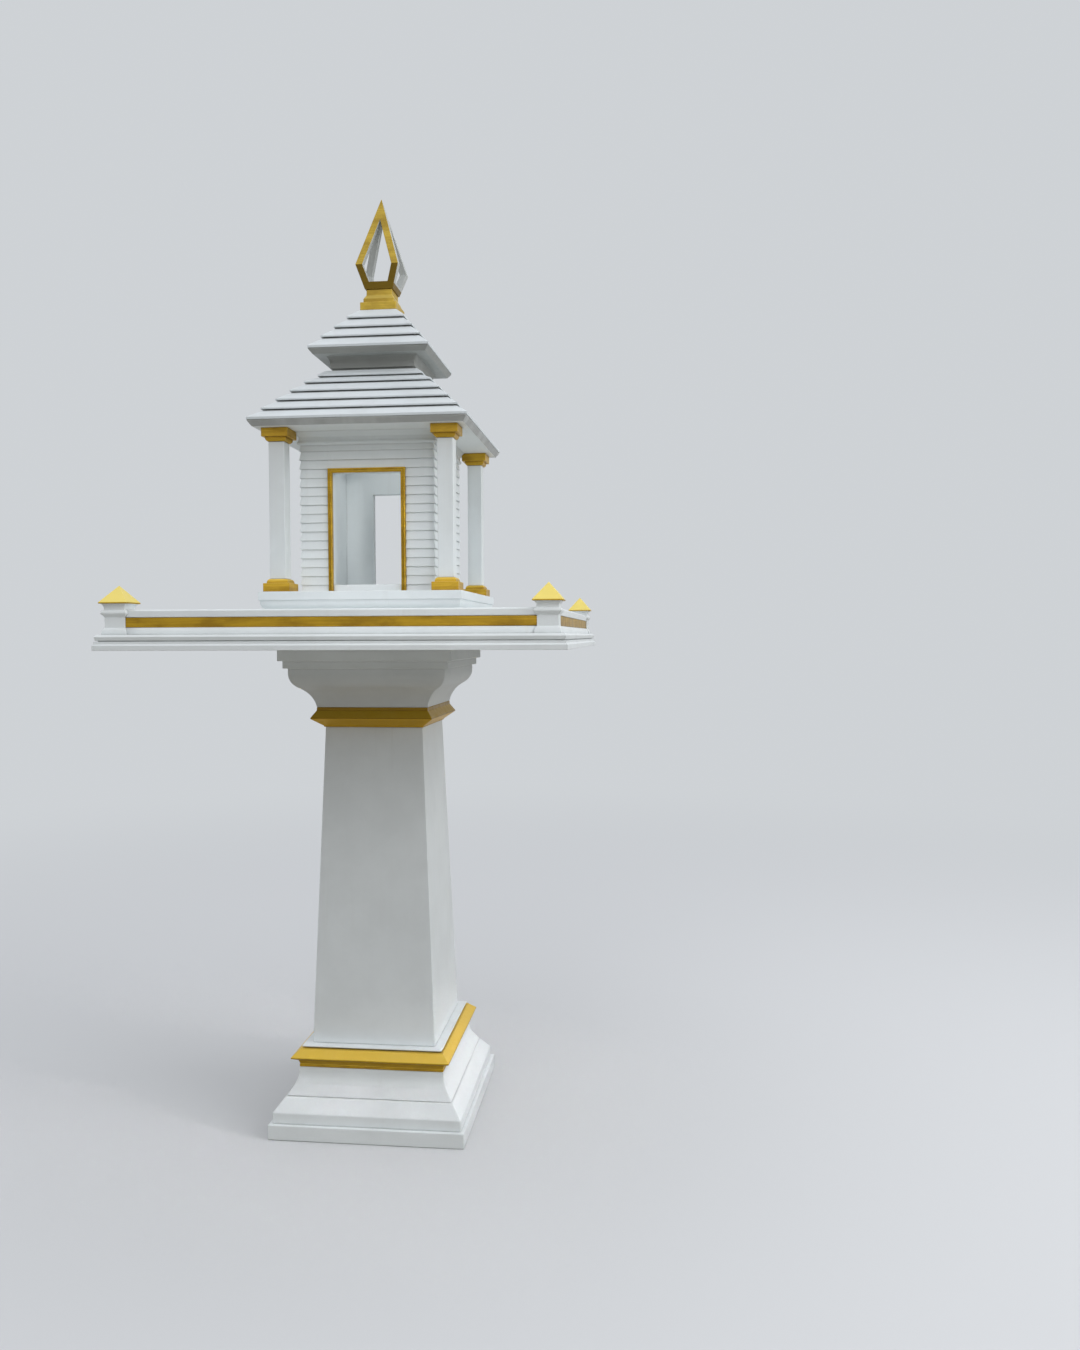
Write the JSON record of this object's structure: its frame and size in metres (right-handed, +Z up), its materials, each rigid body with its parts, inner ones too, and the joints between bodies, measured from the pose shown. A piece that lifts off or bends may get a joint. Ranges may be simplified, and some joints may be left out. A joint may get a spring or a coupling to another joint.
{
  "type": "spirit house",
  "caption": "Small open shrine with a hollow clapboard cella and stepped hipped roofs, on a railed terrace carried by a tapered square pedestal, with gold-painted trim.",
  "frame": {"origin": "on the ground under the middle of the square pedestal", "axes": "+Z up, the doorway faces -Y, +X to the right of a person who faces the doorway"},
  "size_m": [1.2, 1.2, 2.724],
  "materials": {
    "white_cement": "smooth cast cement, satin white masonry paint",
    "siding_boards": "lapped fibre-cement boards, satin white paint",
    "roof_boards": "lapped roof boards, satin white paint with dust on the laps",
    "gold_paint": "gold metallic paint over cement"
  },
  "bodies": {
    "root": {"back_wall_head": "siding_boards", "back_wall_left": "siding_boards", "back_wall_right": "siding_boards", "base_cove": "white_cement", "base_gold_band": "gold_paint", "base_ledge": "white_cement", "base_skirt": "white_cement", "base_slab": "white_cement", "cella_floor": "white_cement", "column_back_left": "white_cement", "column_back_right": "white_cement", "column_bases": "gold_paint", "column_capitals": "gold_paint", "column_front_left": "white_cement", "column_front_right": "white_cement", "corner_post_back_left": "white_cement", "corner_post_back_right": "white_cement", "corner_post_caps": "gold_paint", "corner_post_front_left": "white_cement", "corner_post_front_right": "white_cement", "door_frame": "gold_paint", "finial_base": "gold_paint", "finial_bud": "gold_paint", "front_wall_head": "siding_boards", "front_wall_left": "siding_boards", "front_wall_right": "siding_boards", "house_plinth": "white_cement", "left_wall": "siding_boards", "lower_eave_slab": "white_cement", "lower_roof": "roof_boards", "neck_gold_band": "gold_paint", "parapet_back": "white_cement", "parapet_front": "white_cement", "parapet_gold_strips": "gold_paint", "parapet_left": "white_cement", "parapet_right": "white_cement", "pedestal_capital": "white_cement", "pedestal_shaft": "white_cement", "right_wall": "siding_boards", "roof_neck": "white_cement", "terrace_deck": "white_cement", "terrace_slab": "white_cement", "upper_eave_slab": "white_cement", "upper_roof": "roof_boards", "wall_cornice": "white_cement"}
  },
  "joints": []
}
